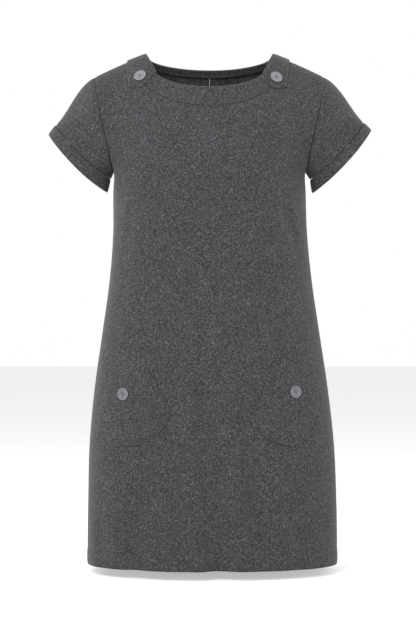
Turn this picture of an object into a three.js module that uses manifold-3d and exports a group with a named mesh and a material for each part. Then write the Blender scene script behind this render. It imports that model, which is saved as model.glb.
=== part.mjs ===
// Short-sleeved jumper dress, hollow, in the shape it has when it is worn.
// Millimetres, +Z up. The front faces -Y and the left-hand pieces are at -X, as seen from the front.
// The origin lies midway between the two points where the shoulder seams meet the neck.
import * as THREE from 'three';
import Module from 'manifold-3d';

const wasm = await Module();
wasm.setup();

// Driving dimensions.
const CLOTH = 1.6;              // one layer of brushed jersey
const DOUBLE_CLOTH = 2.8;       // hem, neck bands and cuffs, where the cloth is turned double
const SEAM_GAP = 0.3;           // clearance between neighbouring pieces
const ARMHOLE_EASE = 0.5;       // more of it at the armhole, where the cloth turns sharply
const NECK_HALF = 112.5;        // half of the neck opening along the shoulders
const SHOULDER_HALF = 205;      // half of the width between the armhole tops
const ARMPIT_LEVEL = -212;
const HEM_LEVEL = -912;
const HEM_DEPTH = 30;
const SHOULDER_ROUND = 110;     // height over which the cloth rolls across the shoulder
const BUTTON_RADIUS = 11;
const PATCH_LIFT = 0.8;         // tabs and pockets clear the panel's facets
const TAB_WALL = 2.4;
const POCKET_WALL = 1.6;

// The hollow form, one row for each level: half width (at the side seams up to the armpits, at the
// armhole seams above them), depth of the front and of the back from the side seams, roundness of
// the section (2 is an ellipse), fullness that is left at the armhole edge and sideways shift.
const SECTIONS = [
  { level: -912, halfWidth: 224.5, front: 130, back: 119, roundness: 2.4, edge: 0, shift: 5 },
  { level: -800, halfWidth: 223, front: 129, back: 118, roundness: 2.4, edge: 0, shift: 5 },
  { level: -700, halfWidth: 219.5, front: 128, back: 116, roundness: 2.4, edge: 0, shift: 4 },
  { level: -600, halfWidth: 209.5, front: 126, back: 113, roundness: 2.38, edge: 0, shift: 3 },
  { level: -500, halfWidth: 195, front: 121, back: 105, roundness: 2.35, edge: 0, shift: 2.5 },
  { level: -400, halfWidth: 181, front: 117, back: 96, roundness: 2.3, edge: 0, shift: 2 },
  { level: -315, halfWidth: 174, front: 118, back: 94, roundness: 2.3, edge: 0, shift: 1 },
  { level: -250, halfWidth: 173, front: 123, back: 97, roundness: 2.3, edge: 0, shift: 0 },
  { level: -212, halfWidth: 172, front: 127, back: 100, roundness: 2.3, edge: 0, shift: 0 },
  { level: -195, halfWidth: 175, front: 128, back: 101, roundness: 2.3, edge: 0.09, shift: 0 },
  { level: -159, halfWidth: 182, front: 123, back: 102, roundness: 2.3, edge: 0.22, shift: 0 },
  { level: -120, halfWidth: 191, front: 110, back: 101, roundness: 2.3, edge: 0.3, shift: 0 },
  { level: -80, halfWidth: 199, front: 94, back: 96, roundness: 2.3, edge: 0.42, shift: 0 },
  { level: -40, halfWidth: 205, front: 83, back: 90, roundness: 2.3, edge: 0.45, shift: 0 },
  { level: 0, halfWidth: 207, front: 76, back: 84, roundness: 2.3, edge: 0.45, shift: 0 },
];
const EDGE_REACH = 8;           // the higher, the nearer to the armhole the edge's fullness stays

// Largest folds: where each starts, bends and ends (x, level), how far it stands out (negative
// for a trough) and half its width.
const FRONT_FOLDS = [
  { x0: -9, z0: -480, x1: -6, z1: -710, x2: 12, z2: -930, height: -11, width: 20 },
  { x0: -36, z0: -560, x1: -34, z1: -740, x2: -24, z2: -930, height: 5, width: 18 },
  { x0: 52, z0: -560, x1: 72, z1: -700, x2: 98, z2: -860, height: -6, width: 18 },
  { x0: -96, z0: -700, x1: -124, z1: -790, x2: -134, z2: -930, height: -8, width: 17 },
  { x0: 122, z0: -250, x1: 142, z1: -320, x2: 166, z2: -420, height: -5, width: 14 },
];
const BACK_FOLDS = [
  { x0: 40, z0: -500, x1: 46, z1: -700, x2: 52, z2: -930, height: -8, width: 22 },
  { x0: -70, z0: -460, x1: -84, z1: -680, x2: -92, z2: -930, height: -7, width: 20 },
  { x0: 150, z0: -600, x1: 156, z1: -760, x2: 158, z2: -930, height: -6, width: 16 },
];

// Neck curves: half width where the curve meets the shoulder seam, drop at the centre below the
// origin and squareness of the curve.
const NECK = {
  frontEdge: { half: NECK_HALF, bottom: -67, square: 2.3 },
  frontSeam: { half: 138, bottom: -104, square: 2 },
  backEdge: { half: NECK_HALF, bottom: -18, square: 2 },
  backSeam: { half: 125.5, bottom: -32, square: 2 },
};

// Cuffs, one row a side (+1 is the right-hand one): ends of the cuff seam and of the rim in the
// front view, as distance from the middle and level.
const SLEEVES = [
  { name: 'left', side: -1, seamTop: [276.5, -127], seamLow: [178, -223], rimTop: [289.5, -144], rimLow: [184, -247] },
  { name: 'right', side: 1, seamTop: [278, -123], seamLow: [181, -224], rimTop: [291, -136], rimLow: [185, -248] },
];
const SLEEVE_HALF_DEPTH = 48;   // front to back at the cuff
const SLEEVE_BOW = 8;           // the cuff dips this far at its front and back
const CUFF_STEP = 1.2;          // the cuff stands proud of the sleeve

// Edges of each shoulder tab from the shoulder seam down, as distance from the middle and level.
const TABS = [
  {
    name: 'left', side: -1,
    neckEdge: [[113.5, 0], [92.5, -40], [118, -68]],
    outerEdge: [[147, -14], [144.5, -46], [142, -68]],
  },
  {
    name: 'right', side: 1,
    neckEdge: [[113.5, 0], [93, -41], [112, -71]],
    outerEdge: [[143, -12], [138, -48], [135, -67]],
  },
];

// Pockets: the slanted opening from its outer to its inner end, then the bag's edge from there
// round the bottom and back, as distance from the middle and level.
const POCKETS = [
  {
    name: 'left', side: -1,
    opening: [[188, -600], [152, -577], [114, -556]],
    bag: [[114, -556], [90, -597], [73, -642], [86, -668], [112, -687], [142, -697], [164, -690],
      [178, -656], [188, -600]],
  },
  {
    name: 'right', side: 1,
    opening: [[190, -601], [148, -582], [107, -551]],
    bag: [[107, -551], [88, -600], [75, -645], [90, -678], [116, -690], [140, -696], [164, -682],
      [180, -652], [190, -601]],
  },
];

// Buttons: where each one's centre lies in the front view, and what it is sewn to.
const BUTTONS = [
  { name: 'button_tab_left', x: -121, z: -48, on: 'tab' },
  { name: 'button_tab_right', x: 116, z: -51, on: 'tab' },
  { name: 'button_pocket_left', x: -152, z: -606, on: 'pocket' },
  { name: 'button_pocket_right', x: 145, z: -602, on: 'pocket' },
];

// Grid counts.
const NECK_COLUMNS = 8;         // across half of the neck
const SHOULDER_COLUMNS = 6;     // along one shoulder
const YOKE_ROWS = 12;           // armpit to shoulder
const SKIRT_ROWS = 13;         // hem fold to armpit
const SLEEVE_ROWS = 5;
const TAB_ROWS = 10;
const TAB_COLUMNS = 4;
const OPENING_STEPS = 7;
const BAG_STEPS = 23;
const POCKET_RINGS = 4;

const cloth = new THREE.MeshStandardMaterial({ color: 0x46464a, roughness: 0.95, metalness: 0 });
const plastic = new THREE.MeshStandardMaterial({ color: 0x77777c, roughness: 0.45, metalness: 0 });

// A table as a smooth function of its level: returns one object with the table's other columns.
function smoothTable(rows) {
  const keys = Object.keys(rows[0]).filter((key) => key !== 'level');
  const ordered = [...rows].sort((a, b) => a.level - b.level);
  const levels = ordered.map((row) => row.level);
  const values = ordered.flatMap((row) => keys.map((key) => row[key]));
  const curve = new THREE.CubicInterpolant(levels, values, keys.length);
  return (level) => {
    const result = curve.evaluate(level);
    return Object.fromEntries(keys.map((key, i) => [key, result[i]]));
  };
}

const sectionAt = smoothTable(SECTIONS);

// Level of the shoulder ridge at a distance from the middle.
function ridgeLevel(x) {
  const out = Math.hypot(x, 40) - Math.hypot(NECK_HALF, 40);
  return -0.38 * out - 0.00075 * out * out;
}

// Sum of the folds at a place on the front or back.
function foldHeight(folds, x, z) {
  let sum = 0;
  for (const fold of folds) {
    const t = (fold.z0 - z) / (fold.z0 - fold.z2);
    if (t <= 0 || t >= 1.3) continue;
    const bend = 2 * fold.x1 - 0.5 * (fold.x0 + fold.x2);
    const middle = (1 - t) ** 2 * fold.x0 + 2 * t * (1 - t) * bend + t * t * fold.x2;
    const across = (x - middle) / fold.width;
    const reachesHem = fold.z2 < HEM_LEVEL;
    const along = reachesHem ? Math.sin(Math.min(t, 0.5) * Math.PI) : Math.sin(Math.min(t, 1) * Math.PI);
    sum += fold.height * Math.exp(-across * across) * along;
  }
  return sum;
}

// A point of the outer surface; face is -1 on the front and +1 on the back.
function formPoint(face, x, z) {
  const section = sectionAt(z);
  const ratio = Math.min(1, Math.abs(x) / section.halfWidth);
  const reach = face < 0 ? section.front : section.back;
  const edge = Math.max(0, section.edge) * ratio ** EDGE_REACH;
  const fullness = 1 - ratio ** section.roundness + edge;
  const across = fullness ** (1 / section.roundness);
  const below = Math.max(0, (ridgeLevel(x) - z) / SHOULDER_ROUND);
  const over = below < 1 ? Math.sqrt(1 - (1 - below) ** 2) : 1;
  const folds = face < 0 ? FRONT_FOLDS : BACK_FOLDS;
  const fold = foldHeight(folds, x, z) * (1 - ratio ** 8);
  const depth = Math.max(SEAM_GAP / 2, reach * across * over + fold);
  return new THREE.Vector3(x + section.shift, face * depth, z);
}

// Outward normal of the form, by small steps along the surface. On the side and shoulder seams it
// lies in the plane of the seam.
function formNormal(face, x, z, onSeam = false) {
  const step = 2;
  const right = formPoint(face, x + step, z);
  const left = formPoint(face, x - step, z);
  const high = formPoint(face, x, z + step);
  const low = formPoint(face, x, z - step);
  const normal = right.sub(left).cross(high.sub(low)).multiplyScalar(-face);
  if (onSeam) normal.y = 0;
  return normal.normalize();
}

// Outward normal of a grid at one of its points, from the neighbouring points.
function gridNormal(grid, r, c, closed) {
  const columns = grid[0].length;
  const before = closed ? (c + columns - 1) % columns : Math.max(0, c - 1);
  const after = closed ? (c + 1) % columns : Math.min(columns - 1, c + 1);
  const alongRow = grid[r][after].clone().sub(grid[r][before]);
  const acrossRows = grid[Math.min(grid.length - 1, r + 1)][c].clone().sub(grid[Math.max(0, r - 1)][c]);
  return alongRow.cross(acrossRows).normalize();
}

// A closed wall from a grid of outer points. Rows run up or along, columns run so that
// (along the row) x (towards the next row) points outwards. wallAt gives the thickness of a row,
// and normalAt the direction that it is measured in.
function wallGeometry(grid, { wallAt, closed = false, normalAt = (r, c) => gridNormal(grid, r, c, closed) }) {
  const rows = grid.length;
  const columns = grid[0].length;
  const outer = grid.flat();
  const inner = [];
  for (let r = 0; r < rows; r += 1) {
    for (let c = 0; c < columns; c += 1) {
      inner.push(grid[r][c].clone().addScaledVector(normalAt(r, c), -wallAt(r)));
    }
  }
  const points = [...outer, ...inner];
  const index = [];
  const quad = (a, b, c, d) => index.push(a, b, c, a, c, d);
  const at = (r, c) => r * columns + (c % columns);
  const under = outer.length;
  const lastColumn = closed ? columns : columns - 1;
  for (let r = 0; r < rows - 1; r += 1) {
    for (let c = 0; c < lastColumn; c += 1) {
      quad(at(r, c), at(r, c + 1), at(r + 1, c + 1), at(r + 1, c));
      quad(under + at(r, c), under + at(r + 1, c), under + at(r + 1, c + 1), under + at(r, c + 1));
    }
  }
  for (let c = 0; c < lastColumn; c += 1) {
    quad(under + at(0, c), under + at(0, c + 1), at(0, c + 1), at(0, c));
    const top = rows - 1;
    quad(at(top, c), at(top, c + 1), under + at(top, c + 1), under + at(top, c));
  }
  if (!closed) {
    const end = columns - 1;
    for (let r = 0; r < rows - 1; r += 1) {
      quad(at(r, 0), at(r + 1, 0), under + at(r + 1, 0), under + at(r, 0));
      quad(at(r + 1, end), at(r, end), under + at(r, end), under + at(r + 1, end));
    }
  }
  return indexedGeometry(points, index);
}

function indexedGeometry(points, index) {
  const geometry = new THREE.BufferGeometry().setFromPoints(points);
  geometry.setIndex(index);
  geometry.computeVertexNormals();
  return geometry;
}

// A point of a neck curve; turn runs from -1 at the left shoulder seam to 1 at the right.
function neckPoint(curve, turn) {
  const angle = turn * Math.PI / 2;
  const top = ridgeLevel(curve.half);
  const power = 2 / curve.square;
  const x = curve.half * Math.sign(angle) * Math.abs(Math.sin(angle)) ** power;
  const z = top + (curve.bottom - top) * Math.abs(Math.cos(angle)) ** power;
  return [x, z];
}

// Top edge of a panel, from the middle out: column counts from 0 at the centre to the armhole.
function panelTop(curve, column) {
  if (column <= NECK_COLUMNS) return neckPoint(curve, column / NECK_COLUMNS);
  const along = (column - NECK_COLUMNS) / SHOULDER_COLUMNS;
  const x = THREE.MathUtils.lerp(curve.half, SHOULDER_HALF, along);
  return [x, ridgeLevel(x)];
}

// Distance from the middle of a column at the armpit level and below.
function columnReach(column, level) {
  const angle = column / (NECK_COLUMNS + SHOULDER_COLUMNS) * Math.PI / 2;
  return sectionAt(level).halfWidth * Math.sin(angle);
}

// Rise from 0 at the armpit to 1 at the shoulder, with rows gathered towards both ends.
const yokeRise = (row) => (1 - Math.cos(row / YOKE_ROWS * Math.PI)) / 2;

// Place (distance from the middle, level) of a grid point of a panel, from the hem up.
function panelPlace(curve, row, column) {
  if (row === 0) return [columnReach(column, HEM_LEVEL), HEM_LEVEL];
  const foldLevel = HEM_LEVEL + HEM_DEPTH;
  if (row <= SKIRT_ROWS + 1) {
    const level = THREE.MathUtils.lerp(foldLevel, ARMPIT_LEVEL, (row - 1) / SKIRT_ROWS);
    return [columnReach(column, level), level];
  }
  const rise = yokeRise(row - SKIRT_ROWS - 1);
  const [topX, topZ] = panelTop(curve, column);
  const level = THREE.MathUtils.lerp(ARMPIT_LEVEL, topZ, rise);
  const plain = THREE.MathUtils.lerp(columnReach(column, ARMPIT_LEVEL), topX, rise);
  const edgeLevel = THREE.MathUtils.lerp(ARMPIT_LEVEL, ridgeLevel(SHOULDER_HALF), rise);
  const edgePlain = THREE.MathUtils.lerp(columnReach(NECK_COLUMNS + SHOULDER_COLUMNS, ARMPIT_LEVEL),
    SHOULDER_HALF, rise);
  const pull = (column / (NECK_COLUMNS + SHOULDER_COLUMNS)) ** 3;
  return [plain + pull * (sectionAt(edgeLevel).halfWidth - edgePlain), level];
}

const PANEL_ROWS = SKIRT_ROWS + 1 + YOKE_ROWS;
const HALF_COLUMNS = NECK_COLUMNS + SHOULDER_COLUMNS;

function panelWall(row) {
  return row <= 1 ? DOUBLE_CLOTH : CLOTH;
}

// Columns are counted from -HALF_COLUMNS at the left side seam to +HALF_COLUMNS at the right.
function panelGeometry(face, curve, firstColumn, lastColumn) {
  const columns = [];
  for (let column = firstColumn; column <= lastColumn; column += 1) columns.push(column);
  if (face > 0) columns.reverse();
  const place = (row, column) => {
    const [reach, level] = panelPlace(curve, row, Math.abs(column));
    return [Math.sign(column) * reach, level];
  };
  const grid = [];
  for (let row = 0; row <= PANEL_ROWS; row += 1) {
    grid.push(columns.map((column) => {
      const point = formPoint(face, ...place(row, column));
      if (face > 0 && column === 0) point.x += (lastColumn > 0 ? 1 : -1) * SEAM_GAP / 2;
      return point;
    }));
  }
  const normalAt = (row, c) => {
    const column = columns[c];
    const onSideSeam = Math.abs(column) === HALF_COLUMNS && row <= SKIRT_ROWS + 1;
    const onShoulderSeam = row === PANEL_ROWS && Math.abs(column) >= NECK_COLUMNS;
    const normal = formNormal(face, ...place(row, column), onSideSeam || onShoulderSeam);
    if (face > 0 && column === 0) normal.x = 0;
    return normal.normalize();
  };
  return wallGeometry(grid, { wallAt: panelWall, normalAt });
}

function neckBandGeometry(face, seam, edge, rows) {
  const firstRow = 1.5 * SEAM_GAP / (edge.bottom - seam.bottom);
  const places = [];
  for (let row = 0; row <= rows; row += 1) {
    const across = THREE.MathUtils.lerp(firstRow, 1, row / rows);
    const line = [];
    for (let column = -NECK_COLUMNS; column <= NECK_COLUMNS; column += 1) {
      const [x0, z0] = neckPoint(seam, column / NECK_COLUMNS);
      const [x1, z1] = neckPoint(edge, column / NECK_COLUMNS);
      const x = THREE.MathUtils.lerp(x0, x1, across);
      const onRidge = Math.abs(column) === NECK_COLUMNS;
      line.push([x, onRidge ? ridgeLevel(x) : THREE.MathUtils.lerp(z0, z1, across)]);
    }
    places.push(face < 0 ? line : line.reverse());
  }
  const grid = places.map((line) => line.map(([x, z]) => formPoint(face, x, z)));
  const normalAt = (row, c) => formNormal(face, ...places[row][c], c === 0 || c === 2 * NECK_COLUMNS);
  return wallGeometry(grid, { wallAt: () => DOUBLE_CLOTH, normalAt });
}

// Points of the armhole edge from the shoulder down the front and up the back.
function armholeLoop(side) {
  const loop = [];
  for (let i = 0; i < 2 * YOKE_ROWS; i += 1) {
    const face = i <= YOKE_ROWS ? -1 : 1;
    const row = i <= YOKE_ROWS ? YOKE_ROWS - i : i - YOKE_ROWS;
    const level = THREE.MathUtils.lerp(ARMPIT_LEVEL, ridgeLevel(SHOULDER_HALF), yokeRise(row));
    const point = formPoint(face, side * sectionAt(level).halfWidth, level);
    if (row === 0 || row === YOKE_ROWS) point.y = 0;
    loop.push(point);
  }
  return loop;
}

// An oval ring of the sleeve between two points of the front view, dipping at front and back.
function sleeveRing(side, [topX, topZ], [lowX, lowZ], grow = 0) {
  const top = new THREE.Vector3(side * topX, 0, topZ);
  const low = new THREE.Vector3(side * lowX, 0, lowZ);
  const centre = top.clone().add(low).multiplyScalar(0.5);
  const half = top.clone().sub(low).multiplyScalar(0.5);
  const axis = new THREE.Vector3(-half.z * side, 0, half.x * side).normalize().negate();
  const ring = [];
  for (let i = 0; i < 2 * YOKE_ROWS; i += 1) {
    const angle = i / YOKE_ROWS * Math.PI;
    const point = centre.clone();
    point.addScaledVector(half, Math.cos(angle) * (1 + grow / half.length()));
    point.y -= Math.sin(angle) * (SLEEVE_HALF_DEPTH + grow);
    point.addScaledVector(axis, SLEEVE_BOW * Math.sin(angle) ** 2);
    ring.push(point);
  }
  return { ring, axis };
}

// Direction in which the sleeve leaves the armhole: along the shoulder at the top, along the
// sleeve at the armpit.
function sleeveStart(side, axis, i) {
  const down = (1 - Math.cos(i / YOKE_ROWS * Math.PI)) / 2;
  const slope = ridgeLevel(SHOULDER_HALF + 1) - ridgeLevel(SHOULDER_HALF - 1);
  const shoulder = new THREE.Vector3(side * 2, 0, slope).normalize();
  return shoulder.lerp(axis, Math.min(1, down * 1.5)).normalize();
}

// Both ways round the ring are needed, because the left sleeve mirrors the right one.
function ringOrder(side, ring) {
  return side > 0 ? ring : [ring[0], ...ring.slice(1).reverse()];
}

function sleeveGeometry({ side, seamTop, seamLow }) {
  const start = armholeLoop(side);
  const { ring: end, axis } = sleeveRing(side, seamTop, seamLow);
  const grid = [];
  for (let row = 0; row <= SLEEVE_ROWS; row += 1) {
    const t = row / SLEEVE_ROWS;
    const line = start.map((from, i) => {
      const to = end[i];
      const pull = from.distanceTo(to) / 3;
      const leave = sleeveStart(side, axis, i);
      const first = from.clone().addScaledVector(leave, SEAM_GAP * 1.2);
      if (i === YOKE_ROWS) first.z += SEAM_GAP;
      first.x += side * ARMHOLE_EASE * Math.abs(Math.sin(i / YOKE_ROWS * Math.PI));
      const curve = new THREE.CubicBezierCurve3(first, first.clone().addScaledVector(leave, pull),
        to.clone().addScaledVector(axis, -pull), to);
      return curve.getPoint(t);
    });
    grid.push(ringOrder(side, line));
  }
  return wallGeometry(grid, { wallAt: () => CLOTH, closed: true });
}

function cuffGeometry({ side, seamTop, seamLow, rimTop, rimLow }) {
  const { ring: start, axis } = sleeveRing(side, seamTop, seamLow, CUFF_STEP);
  const { ring: end } = sleeveRing(side, rimTop, rimLow, CUFF_STEP);
  const grid = [0, 0.5, 1].map((t) => {
    const line = start.map((from, i) => from.clone().addScaledVector(axis, SEAM_GAP).lerp(end[i], t));
    return ringOrder(side, line);
  });
  return wallGeometry(grid, { wallAt: () => DOUBLE_CLOTH, closed: true });
}

// A patch that lies on the front: rings of points shrink from its outline to its middle, and each
// is moved out of the panel along the panel's normal.
function patchGeometry(outline, rings, lift, wall) {
  const middle = outline.reduce((sum, [x, z]) => [sum[0] + x / outline.length, sum[1] + z / outline.length], [0, 0]);
  const place = ([x, z], height) => formPoint(-1, x, z).addScaledVector(formNormal(-1, x, z), height);
  const points = [];
  for (const height of [lift + wall, lift]) {
    points.push(place(middle, height));
    for (let ring = 1; ring <= rings; ring += 1) {
      for (const [x, z] of outline) {
        const share = ring / rings;
        points.push(place([middle[0] + (x - middle[0]) * share, middle[1] + (z - middle[1]) * share], height));
      }
    }
  }
  const count = outline.length;
  const layer = 1 + rings * count;
  const at = (ring, i) => 1 + (ring - 1) * count + (i % count);
  const index = [];
  for (let i = 0; i < count; i += 1) {
    index.push(0, at(1, i), at(1, i + 1));
    index.push(layer, layer + at(1, i + 1), layer + at(1, i));
    for (let ring = 1; ring < rings; ring += 1) {
      const [a, b, c, d] = [at(ring, i), at(ring + 1, i), at(ring + 1, i + 1), at(ring, i + 1)];
      index.push(a, b, c, a, c, d);
      index.push(layer + a, layer + c, layer + b, layer + a, layer + d, layer + c);
    }
    const [a, b] = [at(rings, i), at(rings, i + 1)];
    index.push(a, layer + a, layer + b, a, layer + b, b);
  }
  return indexedGeometry(points, index);
}

// A tab: its rows run from the pointed end up to the shoulder seam, its columns from its neck edge
// to its outer edge.
function tabGeometry({ side, neckEdge, outerEdge }) {
  const along = ([seam, corner, end], t) => {
    const [from, to, share] = t < 0.5 ? [end, corner, 2 * t] : [corner, seam, 1 - (2 - 2 * t) ** 2];
    return [THREE.MathUtils.lerp(from[0], to[0], share), THREE.MathUtils.lerp(from[1], to[1], share)];
  };
  const places = [];
  for (let row = 0; row <= TAB_ROWS; row += 1) {
    const [x0, z0] = along(neckEdge, row / TAB_ROWS);
    const [x1, z1] = along(outerEdge, row / TAB_ROWS);
    const line = [];
    for (let column = 0; column <= TAB_COLUMNS; column += 1) {
      const x = THREE.MathUtils.lerp(x0, x1, column / TAB_COLUMNS);
      const z = THREE.MathUtils.lerp(z0, z1, column / TAB_COLUMNS);
      line.push([side * x, row === TAB_ROWS ? ridgeLevel(x) : z]);
    }
    places.push(side > 0 ? line : line.reverse());
  }
  const normalAt = (row, c) => formNormal(-1, ...places[row][c], row === TAB_ROWS);
  const grid = places.map((line, row) => line.map(([x, z], c) => (
    formPoint(-1, x, z).addScaledVector(normalAt(row, c), PATCH_LIFT + TAB_WALL))));
  return wallGeometry(grid, { wallAt: () => TAB_WALL, normalAt });
}

// Outline of a pocket: its opening and its bag meet at two corners.
function pocketOutline({ side, opening, bag }) {
  const edge = (through, steps) => {
    const curve = new THREE.CatmullRomCurve3(through.map(([x, z]) => new THREE.Vector3(side * x, 0, z)));
    return curve.getSpacedPoints(steps).slice(0, steps).map((point) => [point.x, point.z]);
  };
  return anticlockwise([...edge(opening, OPENING_STEPS), ...edge(bag, BAG_STEPS)]);
}

function anticlockwise(outline) {
  const area = THREE.ShapeUtils.area(outline.map(([x, z]) => new THREE.Vector2(x, z)));
  return area > 0 ? outline : outline.reverse();
}

function toSolid(geometry) {
  const vertProperties = new Float32Array(geometry.attributes.position.array);
  const triVerts = new Uint32Array(geometry.index.array);
  const mesh = new wasm.Mesh({ numProp: 3, vertProperties, triVerts });
  mesh.merge();
  return new wasm.Manifold(mesh);
}

function fromSolid(solid) {
  const mesh = solid.getMesh();
  const geometry = new THREE.BufferGeometry();
  geometry.setAttribute('position', new THREE.BufferAttribute(mesh.vertProperties, mesh.numProp));
  geometry.setIndex(new THREE.BufferAttribute(mesh.triVerts, 1));
  geometry.computeVertexNormals();
  return geometry;
}

// Four-hole button with a raised rim and a domed back, its axis along +Z and its back at z = 0.
function buttonGeometry() {
  const r = BUTTON_RADIUS;
  const profile = [[0, 0], [r - 5, 0], [r - 1, 0.9], [r, 1.8], [r, 2.9], [r - 0.8, 3.6],
    [r - 2.4, 3.4], [r - 3.4, 2.6], [0, 2.4]];
  const lathe = new THREE.LatheGeometry(profile.map(([x, y]) => new THREE.Vector2(x, y)), 24);
  lathe.rotateX(Math.PI / 2);
  let solid = toSolid(lathe);
  const holeRadius = 1;
  const holeOffset = 1.8;
  for (const x of [-holeOffset, holeOffset]) {
    for (const y of [-holeOffset, holeOffset]) {
      const hole = new THREE.CylinderGeometry(holeRadius, holeRadius, 8, 8);
      hole.rotateX(Math.PI / 2);
      hole.translate(x, y, 1);
      solid = solid.subtract(toSolid(hole));
    }
  }
  return fromSolid(solid);
}

const dress = new THREE.Group();

function addMesh(name, geometry, material) {
  const mesh = new THREE.Mesh(geometry, material);
  mesh.name = name;
  dress.add(mesh);
  return mesh;
}

addMesh('front', panelGeometry(-1, NECK.frontSeam, -HALF_COLUMNS, HALF_COLUMNS), cloth);
addMesh('back_left', panelGeometry(1, NECK.backSeam, -HALF_COLUMNS, 0), cloth);
addMesh('back_right', panelGeometry(1, NECK.backSeam, 0, HALF_COLUMNS), cloth);
addMesh('neck_band_front', neckBandGeometry(-1, NECK.frontSeam, NECK.frontEdge, 2), cloth);
addMesh('neck_band_back', neckBandGeometry(1, NECK.backSeam, NECK.backEdge, 1), cloth);

for (const sleeve of SLEEVES) {
  addMesh(`sleeve_${sleeve.name}`, sleeveGeometry(sleeve), cloth);
  addMesh(`cuff_${sleeve.name}`, cuffGeometry(sleeve), cloth);
}

for (const tab of TABS) {
  addMesh(`tab_${tab.name}`, tabGeometry(tab), cloth);
}

for (const pocket of POCKETS) {
  const solid = patchGeometry(pocketOutline(pocket), POCKET_RINGS, PATCH_LIFT, POCKET_WALL);
  addMesh(`pocket_${pocket.name}`, solid, cloth);
}

for (const { name, x, z, on } of BUTTONS) {
  const lift = PATCH_LIFT + (on === 'tab' ? TAB_WALL : POCKET_WALL) + SEAM_GAP;
  const normal = formNormal(-1, x, z);
  const button = addMesh(name, buttonGeometry(), plastic);
  button.position.copy(formPoint(-1, x, z).addScaledVector(normal, lift));
  button.quaternion.setFromUnitVectors(new THREE.Vector3(0, 0, 1), normal);
}

export default dress;
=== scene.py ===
"""Short-sleeved jumper dress in charcoal melange jersey, filled out as when it is worn."""
import math

import bmesh
import bpy
import numpy as np
from mathutils import Matrix, Vector


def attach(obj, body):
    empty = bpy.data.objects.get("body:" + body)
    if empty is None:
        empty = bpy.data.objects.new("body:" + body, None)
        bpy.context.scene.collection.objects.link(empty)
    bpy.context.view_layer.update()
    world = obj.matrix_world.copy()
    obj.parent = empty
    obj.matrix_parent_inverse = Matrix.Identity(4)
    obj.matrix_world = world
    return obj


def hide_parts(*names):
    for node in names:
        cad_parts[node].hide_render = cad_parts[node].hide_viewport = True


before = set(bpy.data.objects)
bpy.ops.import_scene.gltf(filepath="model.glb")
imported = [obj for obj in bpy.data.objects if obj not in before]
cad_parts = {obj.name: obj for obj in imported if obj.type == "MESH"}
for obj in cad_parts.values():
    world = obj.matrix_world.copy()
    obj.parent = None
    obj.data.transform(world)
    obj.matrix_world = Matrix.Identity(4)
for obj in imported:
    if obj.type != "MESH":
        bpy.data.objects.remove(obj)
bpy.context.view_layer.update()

MM = 0.001

# ---------------------------------------------------------------- sizes, in millimetres
CLOTH = 1.6
DOUBLE_CLOTH = 2.8
SEAM_GAP = 0.3
NECK_HALF = 112.5
SHOULDER_HALF = 205
ARMPIT_LEVEL = -212
HEM_LEVEL = -912
HEM_DEPTH = 30
SHOULDER_ROUND = 110
EDGE_REACH = 8
BUTTON_RADIUS = 11
SLEEVE_HALF_DEPTH = 48
SLEEVE_BOW = 8
CUFF_STEP = 1.2
PATCH_LIFT = 0.8
TAB_WALL = 2.4
POCKET_WALL = 1.4
GRID_STEP = 4.0          # spacing of the cloth's mesh

# One row for each level of the hollow form, from the hem up.
SECTION_COLUMNS = ("level", "half_width", "front", "back", "roundness", "edge", "shift")
SECTIONS = (
    (-912, 224.5, 130, 119, 2.4, 0, 5),
    (-800, 223, 129, 118, 2.4, 0, 5),
    (-700, 219.5, 128, 116, 2.4, 0, 4),
    (-600, 209.5, 126, 113, 2.38, 0, 3),
    (-500, 195, 121, 105, 2.35, 0, 2.5),
    (-400, 181, 117, 96, 2.3, 0, 2),
    (-315, 174, 118, 94, 2.3, 0, 1),
    (-250, 173, 123, 97, 2.3, 0, 0),
    (-212, 172, 127, 100, 2.3, 0, 0),
    (-195, 175, 128, 101, 2.3, 0.09, 0),
    (-159, 182, 123, 102, 2.3, 0.22, 0),
    (-120, 191, 110, 101, 2.3, 0.3, 0),
    (-80, 199, 94, 96, 2.3, 0.42, 0),
    (-40, 205, 83, 90, 2.3, 0.45, 0),
    (0, 207, 76, 84, 2.3, 0.45, 0),
)

# Creases: start, bend and end as (x, level), height (negative for a trough), half width, and
# whether the crease runs out through the hem.
FRONT_CREASES = (
    ((-9, -480), (-8, -710), (12, -930), -11, 20, True),
    ((-36, -560), (-36, -740), (-24, -930), 5, 18, True),
    ((52, -560), (74, -700), (98, -860), -6, 18, False),
    ((-96, -700), (-126, -790), (-134, -930), -8, 17, True),
    ((122, -250), (142, -320), (166, -420), -5, 14, False),
    ((-137, -236), (-150, -290), (-158, -356), 2.6, 5, False),
    ((-128, -245), (-139, -300), (-149, -372), -2.4, 8, False),
    ((136, -240), (149, -290), (164, -352), 3.0, 5, False),
    ((120, -286), (136, -335), (159, -402), 3.0, 6, False),
    ((-206, -740), (-212, -820), (-207, -930), 3, 8, True),
    ((-190, -760), (-196, -830), (-190, -930), -3, 9, True),
    ((205, -780), (213, -840), (212, -900), 3, 8, False),
    ((172, -838), (188, -858), (206, -884), 2, 5, False),
    ((-62, -640), (-66, -760), (-70, -930), 3, 20, True),
    ((44, -700), (52, -800), (60, -930), 3.5, 18, True),
    ((140, -740), (146, -820), (150, -930), -3, 18, True),
    ((-160, -150), (-120, -158), (-70, -150), 2, 24, False),
    ((160, -150), (120, -158), (70, -150), 2, 24, False),
)
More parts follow.
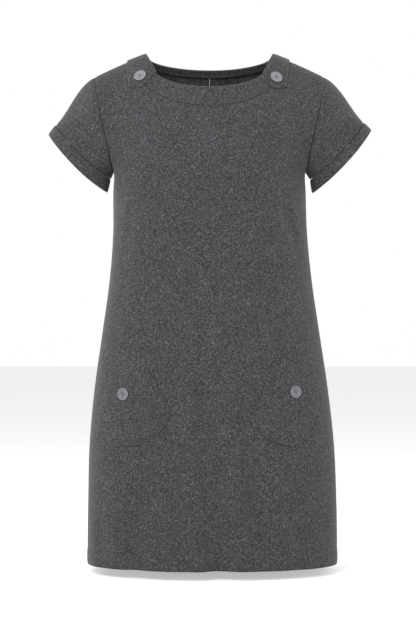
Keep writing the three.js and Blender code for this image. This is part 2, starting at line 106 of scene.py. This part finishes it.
BACK_CREASES = (
    ((40, -500), (46, -700), (52, -930), -8, 22, True),
    ((-70, -460), (-84, -680), (-92, -930), -7, 20, True),
    ((150, -600), (156, -760), (158, -930), -6, 16, True),
    ((-150, -640), (-158, -780), (-160, -930), -4, 16, True),
    ((0, -560), (-10, -740), (-16, -930), 4, 20, True),
    ((100, -620), (104, -760), (108, -930), 4, 18, True),
    ((-130, -250), (-100, -310), (-60, -350), 2.5, 10, False),
    ((130, -240), (104, -300), (70, -330), 2.5, 10, False),
    ((-110, -290), (-60, -360), (10, -372), -2.5, 12, False),
)

# Neck curves: half width at the shoulder seam, drop at the centre, squareness.
FRONT_EDGE = (NECK_HALF, -67, 2.3)
FRONT_SEAM = (138, -104, 2)
BACK_EDGE = (NECK_HALF, -18, 2)
BACK_SEAM = (125.5, -32, 2)

# Cuff seam and rim, top and low ends, as distance from the middle and level.
SLEEVES = {
    "left": (-1, (276.5, -127), (178, -223), (289.5, -144), (184, -247)),
    "right": (1, (278, -123), (181, -224), (291, -136), (185, -248)),
}
TABS = {
    "left": (-1, ((113.5, 0), (92.5, -40), (118, -68)), ((147, -14), (144.5, -46), (142, -68))),
    "right": (1, ((113.5, 0), (93, -41), (112, -71)), ((143, -12), (138, -48), (135, -67))),
}
POCKETS = {
    "left": (-1, ((188, -600), (152, -577), (114, -556)),
             ((114, -556), (90, -597), (73, -642), (86, -668), (112, -687), (142, -697),
              (164, -690), (178, -656), (188, -600))),
    "right": (1, ((190, -601), (148, -582), (107, -551)),
              ((107, -551), (88, -600), (75, -645), (90, -678), (116, -690), (140, -696),
               (164, -682), (180, -652), (190, -601))),
}
BUTTONS = {
    "tab_left": (-121, -48, TAB_WALL, 10),
    "tab_right": (116, -51, TAB_WALL, -25),
    "pocket_left": (-152, -606, POCKET_WALL, 5),
    "pocket_right": (145, -602, POCKET_WALL, 35),
}


# ---------------------------------------------------------------- the form
def hermite(knots, values, at):
    """Smooth curve through the values, with slopes from each knot's neighbours."""
    slopes = np.gradient(values, knots)
    i = np.clip(np.searchsorted(knots, at) - 1, 0, len(knots) - 2)
    width = knots[i + 1] - knots[i]
    t = np.clip((at - knots[i]) / width, 0, 1)
    rise = values[i] * (1 + 2 * t) * (1 - t) ** 2 + values[i + 1] * t * t * (3 - 2 * t)
    return rise + width * (slopes[i] * t * (1 - t) ** 2 - slopes[i + 1] * t * t * (1 - t))


def section(name, level):
    """A column of the section table at any level."""
    table = np.array(SECTIONS, float)
    return hermite(table[:, 0], table[:, SECTION_COLUMNS.index(name)], np.asarray(level, float))


def ridge_level(x):
    """Level of the shoulder ridge at a distance from the middle."""
    out = np.hypot(x, 40) - math.hypot(NECK_HALF, 40)
    return -0.38 * out - 0.00075 * out * out


def crease_height(creases, x, z):
    """Sum of the creases at places on the front or back."""
    total = np.zeros_like(x)
    steps = np.linspace(0, 1, 25)
    for start, bend, end, height, width, through_hem in creases:
        middle = 2 * np.array(bend) - 0.5 * (np.array(start) + np.array(end))
        weights = np.stack([(1 - steps) ** 2, 2 * steps * (1 - steps), steps ** 2], axis=1)
        line = weights @ np.array([start, middle, end], float)
        nearest = np.full_like(x, 1e9)
        share = np.zeros_like(x)
        for step, (px, pz) in zip(steps, line):
            distance = (x - px) ** 2 + (z - pz) ** 2
            closer = distance < nearest
            nearest = np.where(closer, distance, nearest)
            share = np.where(closer, step, share)
        fade = np.minimum(share, 0.5) if through_hem else share
        total += height * np.exp(-nearest / width ** 2) * np.sin(fade * math.pi)
    return total


def soft_ripple(x, z, seed):
    """Slight unevenness of hanging cloth, from a few crossing waves."""
    rng = np.random.default_rng(seed)
    total = np.zeros_like(x)
    for _ in range(14):
        length = rng.uniform(45, 150)
        turn = rng.uniform(-0.5, 0.5)
        phase = rng.uniform(0, 2 * math.pi)
        along = (x * math.cos(turn) + 0.35 * z * math.sin(turn) + 0.12 * z) / length
        total += np.sin(2 * math.pi * along + phase) * length / 150
    return total * 0.35


def form(face, x, z):
    """Points of the outer surface in millimetres; face is -1 on the front and +1 on the back."""
    x = np.asarray(x, float)
    z = np.asarray(z, float)
    ratio = np.minimum(1, np.abs(x) / section("half_width", z))
    roundness = section("roundness", z)
    edge = np.maximum(0, section("edge", z)) * ratio ** EDGE_REACH
    across = np.maximum(0, 1 - ratio ** roundness + edge) ** (1 / roundness)
    below = np.clip((ridge_level(x) - z) / SHOULDER_ROUND, 0, 1)
    over = np.sqrt(1 - (1 - below) ** 2)
    creases = FRONT_CREASES if face < 0 else BACK_CREASES
    lift = crease_height(creases, x, z) + soft_ripple(x, z, 5 - face) * over
    lift = lift * (1 - ratio ** 8)
    reach = section("front" if face < 0 else "back", z)
    depth = np.maximum(SEAM_GAP / 2, reach * across * over + lift)
    return np.stack([x + section("shift", z), face * depth, z], axis=-1)


def form_normal(face, x, z):
    step = 2.0
    along = form(face, x + step, z) - form(face, x - step, z)
    up = form(face, x, z + step) - form(face, x, z - step)
    normal = np.cross(along, up) * -face
    return normal / np.linalg.norm(normal, axis=-1, keepdims=True)


# ---------------------------------------------------------------- meshes
def grid_normals(points, closed):
    """Outward normals of a grid of points [row, column]."""
    if closed:
        ring = np.concatenate([points[:, -2:-1], points, points[:, 1:2]], axis=1)
        along = ring[:, 2:] - ring[:, :-2]
    else:
        along = np.gradient(points, axis=1)
    up = np.gradient(points, axis=0)
    normal = np.cross(along, up)
    return normal / np.maximum(1e-9, np.linalg.norm(normal, axis=-1, keepdims=True))


def roll_edges(points, sides, closed=False, depth=0.9):
    """Turns the named edges of a grid slightly inwards, as a pressed seam or a fold is."""
    rows, columns = points.shape[:2]
    dip = np.zeros((rows, columns))
    for ring, share in enumerate((1.0, 0.3, 0.05)):
        if "low" in sides:
            dip[ring] = np.maximum(dip[ring], share)
        if "high" in sides:
            dip[-1 - ring] = np.maximum(dip[-1 - ring], share)
        if "start" in sides:
            dip[:, ring] = np.maximum(dip[:, ring], share)
        if "end" in sides:
            dip[:, -1 - ring] = np.maximum(dip[:, -1 - ring], share)
    return points - grid_normals(points, closed) * (dip * depth)[..., None]


def smooth_shade(obj):
    for polygon in obj.data.polygons:
        polygon.use_smooth = True


def cloth_object(name, points, wall, material, closed=False):
    """A sheet from a grid of points in millimetres, with its wall turned inwards."""
    rows, columns = points.shape[:2]
    bm = bmesh.new()
    bmesh.ops.create_grid(bm, x_segments=columns - 1, y_segments=rows - 1, size=0.5)
    for vert in bm.verts:
        column = round((vert.co.x + 0.5) * (columns - 1))
        row = round((vert.co.y + 0.5) * (rows - 1))
        vert.co = Vector(points[row, column]) * MM
    if closed:
        bmesh.ops.remove_doubles(bm, verts=bm.verts, dist=1e-6)
    mesh = bpy.data.meshes.new(name)
    bm.to_mesh(mesh)
    bm.free()
    obj = bpy.data.objects.new(name, mesh)
    bpy.context.scene.collection.objects.link(obj)
    mesh.materials.append(material)
    smooth_shade(obj)
    solid = obj.modifiers.new("wall", "SOLIDIFY")
    solid.thickness = wall * MM
    solid.offset = -1
    solid.use_even_offset = False
    return obj


def finish_piece(obj, nodes):
    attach(obj, "root")
    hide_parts(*nodes)
    return obj


# ---------------------------------------------------------------- panels
def neck_place(curve, turn):
    half, bottom, square = curve
    angle = np.asarray(turn, float) * math.pi / 2
    top = ridge_level(half)
    x = half * np.sign(angle) * np.abs(np.sin(angle)) ** (2 / square)
    z = top + (bottom - top) * np.abs(np.cos(angle)) ** (2 / square)
    return x, z


NECK_SHARE = 8 / 14      # share of a half panel's columns that end at the neck


def panel_places(curve, s, rows_skirt, rows_yoke):
    """Grid places (x, level) of a panel; s runs from -1 to 1 between the side seams."""
    reach = np.abs(s)
    sign = np.sign(s)
    along_neck = np.minimum(1, reach / NECK_SHARE)
    neck_x, neck_z = neck_place(curve, along_neck)
    along_shoulder = np.clip((reach - NECK_SHARE) / (1 - NECK_SHARE), 0, 1)
    shoulder_x = curve[0] + (SHOULDER_HALF - curve[0]) * along_shoulder
    on_shoulder = reach > NECK_SHARE
    top_x = np.where(on_shoulder, shoulder_x, neck_x)
    top_z = np.where(on_shoulder, ridge_level(shoulder_x), neck_z)
    sine = np.sin(reach * math.pi / 2)
    xs, zs = [], []
    for level in np.linspace(HEM_LEVEL, ARMPIT_LEVEL, rows_skirt + 1):
        xs.append(section("half_width", level) * sine)
        zs.append(np.full_like(s, level))
    for row in range(1, rows_yoke + 1):
        rise = (1 - math.cos(row / rows_yoke * math.pi)) / 2
        edge_level = ARMPIT_LEVEL + (ridge_level(SHOULDER_HALF) - ARMPIT_LEVEL) * rise
        low = section("half_width", ARMPIT_LEVEL)
        plain = low * sine * (1 - rise) + top_x * rise
        edge_plain = low * (1 - rise) + SHOULDER_HALF * rise
        xs.append(plain + reach ** 3 * (section("half_width", edge_level) - edge_plain))
        zs.append(ARMPIT_LEVEL + (top_z - ARMPIT_LEVEL) * rise)
    return np.array(xs) * sign, np.array(zs)


def hem_relief(z):
    """Faint groove of the blind stitching and the slight ridge of the turned hem."""
    rise = z - HEM_LEVEL
    groove = -0.7 * np.exp(-((rise - HEM_DEPTH) / 3.0) ** 2)
    return groove + 0.5 / (1 + np.exp((rise - HEM_DEPTH) / 3.0))


def panel_object(name, face, curve, first, last, material):
    columns = round(abs(last - first) * 64) + 1
    s = np.linspace(first, last, columns)
    if face > 0:
        s = s[::-1]
    x, z = panel_places(curve, s, 172, 56)
    points = form(face, x, z)
    points += grid_normals(points, False) * hem_relief(z)[..., None]
    if face > 0:
        middle = np.abs(s) < 1e-9
        points[:, middle, 0] += np.sign(first + last) * SEAM_GAP / 2
    points = roll_edges(points, ("low", "high", "start", "end"))
    panel = cloth_object(name, points, CLOTH, material)
    return panel


def neck_band_object(name, face, seam, edge, rows, material):
    turn = np.linspace(-1, 1, 129)
    if face > 0:
        turn = turn[::-1]
    x0, z0 = neck_place(seam, turn)
    x1, z1 = neck_place(edge, turn)
    first = 1.5 * SEAM_GAP / (edge[1] - seam[1])
    across = np.linspace(first, 1, rows)[:, None]
    x = x0 + (x1 - x0) * across
    z = z0 + (z1 - z0) * across
    z[:, [0, -1]] = ridge_level(x[:, [0, -1]])
    points = roll_edges(form(face, x, z), ("low", "high"), depth=0.7)
    band = cloth_object(name, points, DOUBLE_CLOTH, material)
    return band


# ---------------------------------------------------------------- sleeves
RING_STEPS = 112


def armhole_ring(side):
    """Armhole edge from the shoulder down the front and up the back."""
    i = np.arange(RING_STEPS + 1)
    half = RING_STEPS // 2
    rise = (1 + np.cos(i / half * math.pi)) / 2
    level = ARMPIT_LEVEL + (ridge_level(SHOULDER_HALF) - ARMPIT_LEVEL) * rise
    x = side * section("half_width", level)
    front = form(-1, x, level)
    back = form(1, x, level)
    ring = np.where((i <= half)[:, None], front, back)
    ring[[0, half, -1], 1] = 0
    return ring


def sleeve_ring(side, top, low, grow=0.0):
    """Oval ring of the sleeve between its top and low points, dipping at front and back."""
    top = np.array([side * top[0], 0, top[1]], float)
    low = np.array([side * low[0], 0, low[1]], float)
    centre = (top + low) / 2
    half = (top - low) / 2
    length = np.linalg.norm(half)
    axis = np.array([half[2] * side, 0, -half[0] * side]) / length
    angle = np.linspace(0, 2 * math.pi, RING_STEPS + 1)[:, None]
    ring = centre + half * np.cos(angle) * (1 + grow / length)
    ring = ring - np.array([0, 1, 0]) * np.sin(angle) * (SLEEVE_HALF_DEPTH + grow)
    return ring + axis * SLEEVE_BOW * np.sin(angle) ** 2, axis


def sleeve_points(side, seam_top, seam_low):
    start = armhole_ring(side)
    end, axis = sleeve_ring(side, seam_top, seam_low)
    turn = np.linspace(0, 2 * math.pi, RING_STEPS + 1)[:, None]
    down = np.minimum(1, (1 - np.cos(turn)) / 2 * 1.5)
    slope = ridge_level(SHOULDER_HALF + 1) - ridge_level(SHOULDER_HALF - 1)
    shoulder = np.array([side * 2, 0, slope])
    shoulder = shoulder / np.linalg.norm(shoulder)
    leave = shoulder * (1 - down) + axis * down
    leave = leave / np.linalg.norm(leave, axis=1, keepdims=True)
    pull = np.linalg.norm(end - start, axis=1, keepdims=True) / 3
    first = start + leave * SEAM_GAP * 1.2
    first[:, 0] += side * 0.5 * np.abs(np.sin(turn[:, 0]))
    first[:, 2] += SEAM_GAP * (np.cos(turn[:, 0]) < -0.999)
    rows = []
    for t in np.linspace(0, 1, 30):
        rows.append(first * (1 - t) ** 3 + (first + leave * pull) * 3 * t * (1 - t) ** 2
                    + (end - axis * pull) * 3 * t * t * (1 - t) + end * t ** 3)
    points = np.array(rows)
    if side < 0:
        points = points[:, ::-1]
    # shallow drag folds that fan from the armpit across the front and back of the sleeve
    normals = grid_normals(points, True)
    angle = np.linspace(0, 2 * math.pi, RING_STEPS + 1)
    along = np.linspace(0, 1, len(points))[:, None]
    fan = np.sin(angle * 7 + along * 2.4 * side) * np.exp(-((np.abs(angle - math.pi) - 1.1) / 0.7) ** 2)
    return points + normals * (1.6 * fan * np.sin(along * math.pi) ** 0.7)[..., None]


def cuff_points(side, seam_top, seam_low, rim_top, rim_low):
    start, axis = sleeve_ring(side, seam_top, seam_low, CUFF_STEP)
    end, _ = sleeve_ring(side, rim_top, rim_low, CUFF_STEP)
    start = start + axis * SEAM_GAP
    points = np.array([start + (end - start) * t for t in np.linspace(0, 1, 9)])
    return points if side > 0 else points[:, ::-1]


# ---------------------------------------------------------------- tabs and pockets
def tab_points(side, neck_edge, outer_edge):
    def along(edge, t):
        seam, corner, end = (np.array(point, float) for point in edge)
        if t < 0.5:
            return end + (corner - end) * 2 * t
        return corner + (seam - corner) * (1 - (2 - 2 * t) ** 2)

    rows = 25
    columns = 15
    xs, zs = [], []
    for row in range(rows):
        a = along(neck_edge, row / (rows - 1))
        b = along(outer_edge, row / (rows - 1))
        share = np.linspace(0, 1, columns)
        x = a[0] + (b[0] - a[0]) * share
        z = a[1] + (b[1] - a[1]) * share
        xs.append(x)
        zs.append(ridge_level(x) if row == rows - 1 else z)
    x = side * np.array(xs)
    z = np.array(zs)
    if side < 0:
        x, z = x[:, ::-1], z[:, ::-1]
    normal = form_normal(-1, x, z)
    normal[-1, :, 1] = 0
    normal /= np.linalg.norm(normal, axis=-1, keepdims=True)
    points = form(-1, x, z) + normal * (PATCH_LIFT + TAB_WALL)
    return roll_edges(points, ("low", "start", "end"), depth=0.7)


def spline_through(points, count, closed=False):
    """Evenly spaced points of a smooth curve through the given ones."""
    p = np.array(points, float)
    length = np.concatenate([[0], np.cumsum(np.linalg.norm(np.diff(p, axis=0), axis=1))])
    fine = np.linspace(0, length[-1], 400)
    line = np.stack([hermite(length, p[:, k], fine) for k in range(2)], axis=1)
    run = np.concatenate([[0], np.cumsum(np.linalg.norm(np.diff(line, axis=0), axis=1))])
    at = np.linspace(0, run[-1], count + 1)[:-1]
    return np.stack([np.interp(at, run, line[:, k]) for k in range(2)], axis=1)


def pocket_points(side, opening, bag):
    outline = np.concatenate([spline_through(opening, 28), spline_through(bag, 92)])
    outline[:, 0] *= side
    x, z = outline.T
    area = np.sum(x * np.roll(z, -1) - np.roll(x, -1) * z)
    if area < 0:
        outline = outline[::-1]
    outline = np.concatenate([outline, outline[:1]])
    middle = outline[:-1].mean(axis=0)
    shares = np.concatenate([[1, 0.985, 0.965, 0.93], np.linspace(0.88, 0, 14)])
    places = middle + (outline - middle) * shares[:, None, None]
    x, z = places[..., 0], places[..., 1]
    lift = PATCH_LIFT + POCKET_WALL + np.interp(1 - shares, [0, 0.015, 0.07, 1], [-0.5, 0.1, 0.3, 1.2])
    return form(-1, x, z) + form_normal(-1, x, z) * lift[:, None, None]


# ---------------------------------------------------------------- materials
def linear(hex_colour):
    """sRGB hex to linear RGBA."""
    channels = [int(hex_colour[i:i + 2], 16) / 255 for i in (0, 2, 4)]
    return [c / 12.92 if c <= 0.04045 else ((c + 0.055) / 1.055) ** 2.4 for c in channels] + [1.0]


def add_node(tree, kind, links=(), **settings):
    """Adds a node, sets its properties or input values by name, and links its inputs."""
    node = tree.nodes.new(kind)
    for key, value in settings.items():
        if hasattr(node, key):
            setattr(node, key, value)
        else:
            node.inputs[key.replace("_", " ")].default_value = value
    for socket, source in links:
        tree.links.new(source, node.inputs[socket])
    return node


def new_material(name):
    material = bpy.data.materials.new(name)
    material.use_nodes = True
    tree = material.node_tree
    shader = tree.nodes["Principled BSDF"]
    return material, tree, shader


def set_ramp(node, stops):
    ramp = node.color_ramp
    while len(ramp.elements) > len(stops):
        ramp.elements.remove(ramp.elements[-1])
    while len(ramp.elements) < len(stops):
        ramp.elements.new(0.5)
    for element, (position, colour) in zip(ramp.elements, stops):
        element.position = position
        element.color = linear(colour)


def melange_jersey():
    """Brushed melange jersey: charcoal and pale fibres spun together, with a short matt nap that
    lightens the cloth where it turns away."""
    material, tree, shader = new_material("brushed melange jersey")
    place = add_node(tree, "ShaderNodeTexCoord").outputs["Object"]
    # The fibres are under 1 mm; the speckle is drawn about 2 mm across so that it shows.
    speckle = add_node(tree, "ShaderNodeTexNoise", [("Vector", place)], Scale=1 / (2.6 * MM), Detail=2.0,
                       Roughness=0.65)
    cloudy = add_node(tree, "ShaderNodeTexNoise", [("Vector", place)], Scale=1 / (28 * MM), Detail=2.0)
    ramp = add_node(tree, "ShaderNodeValToRGB", [("Fac", speckle.outputs["Fac"])])
    set_ramp(ramp, [(0.3, "2b2b2d"), (0.5, "414143"), (0.72, "6a6a6e")])
    tone = add_node(tree, "ShaderNodeMapRange", [("Value", cloudy.outputs["Fac"])])
    tone.inputs["To Min"].default_value = 0.86
    tone.inputs["To Max"].default_value = 1.14
    shade = add_node(tree, "ShaderNodeVectorMath", [(0, ramp.outputs["Color"]), ("Scale", tone.outputs["Result"])],
                     operation="SCALE")
    tree.links.new(shade.outputs["Vector"], shader.inputs["Base Color"])
    bump = add_node(tree, "ShaderNodeBump", [("Height", speckle.outputs["Fac"])], Strength=0.25,
                    Distance=0.6 * MM)
    tree.links.new(bump.outputs["Normal"], shader.inputs["Normal"])
    shader.inputs["Roughness"].default_value = 0.95
    shader.inputs["Specular IOR Level"].default_value = 0.2
    shader.inputs["Sheen Weight"].default_value = 0.35
    shader.inputs["Sheen Roughness"].default_value = 0.45
    shader.inputs["Sheen Tint"].default_value = linear("c8c8cc")
    return material


def button_plastic(name, dark, light):
    """Moulded polyester resin with a satin face and faint turned rings."""
    material, tree, shader = new_material(name)
    place = add_node(tree, "ShaderNodeTexCoord").outputs["Object"]
    cloud = add_node(tree, "ShaderNodeTexNoise", [("Vector", place)], Scale=1 / (3 * MM), Detail=3.0)
    ramp = add_node(tree, "ShaderNodeValToRGB", [("Fac", cloud.outputs["Fac"])])
    set_ramp(ramp, [(0.3, dark), (0.7, light)])
    tree.links.new(ramp.outputs["Color"], shader.inputs["Base Color"])
    shader.inputs["Roughness"].default_value = 0.42
    shader.inputs["IOR"].default_value = 1.5
    return material


def sewing_thread():
    """Spun polyester thread, matt."""
    material, tree, shader = new_material("polyester sewing thread")
    place = add_node(tree, "ShaderNodeTexCoord").outputs["Object"]
    twist = add_node(tree, "ShaderNodeTexNoise", [("Vector", place)], Scale=1 / (0.4 * MM))
    ramp = add_node(tree, "ShaderNodeValToRGB", [("Fac", twist.outputs["Fac"])])
    set_ramp(ramp, [(0.3, "3a3a3c"), (0.7, "5c5c60")])
    tree.links.new(ramp.outputs["Color"], shader.inputs["Base Color"])
    shader.inputs["Roughness"].default_value = 0.8
    return material


# ---------------------------------------------------------------- buttons
def button_parts(name, place, normal, spin, material, thread):
    """Four-hole button with a raised rim and turned rings, and the thread through its holes."""
    r = BUTTON_RADIUS
    profile = [(0, 0), (r - 5, 0), (r - 1.2, 0.8), (r - 0.2, 1.6), (r, 2.3), (r - 0.2, 3.0), (r - 0.8, 3.5),
               (r - 1.5, 3.6), (r - 2.2, 3.35), (r - 2.7, 2.8), (r - 3.1, 2.5), (r - 3.5, 2.55),
               (r - 4.2, 2.8), (r - 4.8, 2.75), (r - 5.3, 2.5), (r - 6.5, 2.35), (0, 2.3)]
    bm = bmesh.new()
    verts = [bm.verts.new((x, 0, z)) for x, z in profile]
    edges = [bm.edges.new(pair) for pair in zip(verts, verts[1:])]
    bmesh.ops.spin(bm, geom=verts + edges, cent=(0, 0, 0), axis=(0, 0, 1), angle=2 * math.pi, steps=64,
                   use_merge=True)
    bmesh.ops.remove_doubles(bm, verts=bm.verts, dist=1e-4)
    bmesh.ops.recalc_face_normals(bm, faces=bm.faces)
    mesh = bpy.data.meshes.new(name)
    bm.to_mesh(mesh)
    bm.free()
    button = bpy.data.objects.new(name, mesh)
    bpy.context.scene.collection.objects.link(button)
    hole_radius = 1.0
    hole_offset = 1.8
    cutter_bm = bmesh.new()
    for x in (-hole_offset, hole_offset):
        for y in (-hole_offset, hole_offset):
            bmesh.ops.create_cone(cutter_bm, cap_ends=True, segments=20, radius1=hole_radius,
                                  radius2=hole_radius, depth=12, matrix=Matrix.Translation((x, y, 1)))
    cutter_mesh = bpy.data.meshes.new("cutter")
    cutter_bm.to_mesh(cutter_mesh)
    cutter_bm.free()
    cutter = bpy.data.objects.new("cutter", cutter_mesh)
    bpy.context.scene.collection.objects.link(cutter)
    cut = button.modifiers.new("holes", "BOOLEAN")
    cut.operation = "DIFFERENCE"
    cut.solver = "EXACT"
    cut.object = cutter
    graph = bpy.context.evaluated_depsgraph_get()
    holed = bpy.data.meshes.new_from_object(button.evaluated_get(graph))
    button.modifiers.clear()
    button.data = holed
    bpy.data.objects.remove(cutter)
    turn = Vector((0, 0, 1)).rotation_difference(Vector(normal)).to_matrix().to_4x4()
    where = Matrix.Translation(Vector(place) * MM) @ turn @ Matrix.Rotation(math.radians(spin), 4, "Z")
    scale = Matrix.Scale(MM, 4)
    holed.transform(where @ scale)
    holed.materials.append(material)
    for polygon in holed.polygons:
        polygon.use_smooth = True
    if hasattr(holed, "set_sharp_from_angle"):
        holed.set_sharp_from_angle(angle=math.radians(40))

    bm = bmesh.new()
    strand = 0.45
    for y in (-hole_offset, hole_offset):
        for shift in (-0.35, 0.35):
            lie = Matrix.Translation((0, y + shift, 2.35)) @ Matrix.Rotation(math.pi / 2, 4, "Y")
            bmesh.ops.create_cone(bm, cap_ends=True, segments=10, radius1=strand, radius2=strand,
                                  depth=2 * hole_offset, matrix=lie)
            for x in (-hole_offset, hole_offset):
                drop = Matrix.Translation((x, y + shift, 1.0))
                bmesh.ops.create_cone(bm, cap_ends=True, segments=10, radius1=strand, radius2=strand,
                                      depth=2.9, matrix=drop)
    mesh = bpy.data.meshes.new(name + "_thread")
    bm.to_mesh(mesh)
    bm.free()
    mesh.transform(where @ scale)
    mesh.materials.append(thread)
    strands = bpy.data.objects.new(name + "_thread", mesh)
    bpy.context.scene.collection.objects.link(strands)
    smooth_shade(strands)
    return button, strands


# ---------------------------------------------------------------- make the dress
jersey = melange_jersey()
pale_resin = button_plastic("pale grey resin", "7c7c80", "929296")
grey_resin = button_plastic("mid grey resin", "68686c", "7e7e82")
thread_grey = sewing_thread()

front = panel_object("front_panel", -1, FRONT_SEAM, -1, 1, jersey)
finish_piece(front, ["front"])
back_left = panel_object("back_panel_left", 1, BACK_SEAM, -1, 0, jersey)
finish_piece(back_left, ["back_left"])
back_right = panel_object("back_panel_right", 1, BACK_SEAM, 0, 1, jersey)
finish_piece(back_right, ["back_right"])

band_front = neck_band_object("front_neck_band", -1, FRONT_SEAM, FRONT_EDGE, 12, jersey)
finish_piece(band_front, ["neck_band_front"])
band_back = neck_band_object("back_neck_band", 1, BACK_SEAM, BACK_EDGE, 6, jersey)
finish_piece(band_back, ["neck_band_back"])

for label, (side, seam_top, seam_low, rim_top, rim_low) in SLEEVES.items():
    points = roll_edges(sleeve_points(side, seam_top, seam_low), ("low", "high"), True)
    sleeve = cloth_object(f"short_sleeve_{label}", points, CLOTH, jersey, closed=True)
    finish_piece(sleeve, [f"sleeve_{label}"])
    points = roll_edges(cuff_points(side, seam_top, seam_low, rim_top, rim_low), ("low", "high"), True)
    cuff = cloth_object(f"sleeve_cuff_{label}", points, DOUBLE_CLOTH, jersey, closed=True)
    finish_piece(cuff, [f"cuff_{label}"])

for label, (side, neck_edge, outer_edge) in TABS.items():
    points = tab_points(side, neck_edge, outer_edge)
    tab = cloth_object(f"shoulder_tab_{label}", points, TAB_WALL, jersey)
    finish_piece(tab, [f"tab_{label}"])

for label, (side, opening, bag) in POCKETS.items():
    pocket = cloth_object(f"patch_pocket_{label}", pocket_points(side, opening, bag), POCKET_WALL, jersey,
                          closed=True)
    finish_piece(pocket, [f"pocket_{label}"])

for label, (x, z, wall, spin) in BUTTONS.items():
    normal = form_normal(-1, np.array(float(x)), np.array(float(z)))
    place = form(-1, np.array(float(x)), np.array(float(z))) + normal * (PATCH_LIFT + wall + SEAM_GAP)
    resin = pale_resin if label.startswith("tab") else grey_resin
    button, strands = button_parts(f"sewn_button_{label}", place, normal, spin, resin, thread_grey)
    finish_piece(button, [f"button_{label}"])
    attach(strands, "root")


# ---------------------------------------------------------------- studio
def area_light(name, place, aim, size, power, colour="ffffff"):
    data = bpy.data.lights.new(name, "AREA")
    data.shape = "RECTANGLE"
    data.size, data.size_y = size
    data.energy = power
    data.color = linear(colour)[:3]
    light = bpy.data.objects.new(name, data)
    light.location = place
    light.rotation_euler = (Vector(aim) - Vector(place)).to_track_quat("-Z", "Y").to_euler()
    bpy.context.scene.collection.objects.link(light)


area_light("key", (-1.1, -2.4, 1.5), (0, 0, -0.45), (1.6, 1.6), 62)
area_light("fill", (1.8, -2.6, 0.2), (0, 0, -0.5), (1.8, 1.8), 20)
area_light("edge_left", (-2.2, 0.6, 0.2), (0, 0, -0.4), (0.8, 2.0), 26)
area_light("edge_right", (2.2, 0.6, 0.2), (0, 0, -0.4), (0.8, 2.0), 18)

world = bpy.data.worlds.new("studio")
bpy.context.scene.world = world
world.use_nodes = True
tree = world.node_tree
background = tree.nodes["Background"]
rays = add_node(tree, "ShaderNodeLightPath")
seen = add_node(tree, "ShaderNodeMath", [(0, rays.outputs["Is Camera Ray"]), (1, rays.outputs["Is Glossy Ray"])],
                operation="MAXIMUM")
level = add_node(tree, "ShaderNodeMapRange", [("Value", seen.outputs["Value"])])
level.inputs["To Min"].default_value = 0.4
level.inputs["To Max"].default_value = 1.0
tree.links.new(level.outputs["Result"], background.inputs["Strength"])
background.inputs["Color"].default_value = (1, 1, 1, 1)

FLOOR_LEVEL = (HEM_LEVEL - 16) * MM
bm = bmesh.new()
bmesh.ops.create_grid(bm, x_segments=1, y_segments=1, size=12)
bmesh.ops.translate(bm, verts=bm.verts, vec=(0, 0, FLOOR_LEVEL))
floor_mesh = bpy.data.meshes.new("floor")
bm.to_mesh(floor_mesh)
bm.free()
floor = bpy.data.objects.new("floor", floor_mesh)
bpy.context.scene.collection.objects.link(floor)
paper, paper_tree, paper_shader = new_material("white studio paper")
paper_shader.inputs["Base Color"].default_value = linear("f4f4f4")
paper_shader.inputs["Roughness"].default_value = 0.9
paper_rays = add_node(paper_tree, "ShaderNodeLightPath")
paper_glow = add_node(paper_tree, "ShaderNodeMath", [(0, paper_rays.outputs["Is Camera Ray"])],
                      operation="MULTIPLY")
paper_glow.inputs[1].default_value = 0.45
paper_tree.links.new(paper_glow.outputs["Value"], paper_shader.inputs["Emission Strength"])
paper_shader.inputs["Emission Color"].default_value = (1, 1, 1, 1)
floor_mesh.materials.append(paper)

CAMERA_DISTANCE = 3.2
FRAME_HEIGHT = 1.1232    # height that the view takes in at the side seams
camera_data = bpy.data.cameras.new("camera")
camera_data.sensor_width = 36
camera_data.lens = 36 * CAMERA_DISTANCE / FRAME_HEIGHT
camera = bpy.data.objects.new("camera", camera_data)
camera.location = (-0.0027, -CAMERA_DISTANCE, -0.4626)
camera.rotation_euler = (math.pi / 2, 0, 0)
bpy.context.scene.collection.objects.link(camera)
bpy.context.scene.camera = camera
bpy.context.scene.view_settings.view_transform = "Standard"
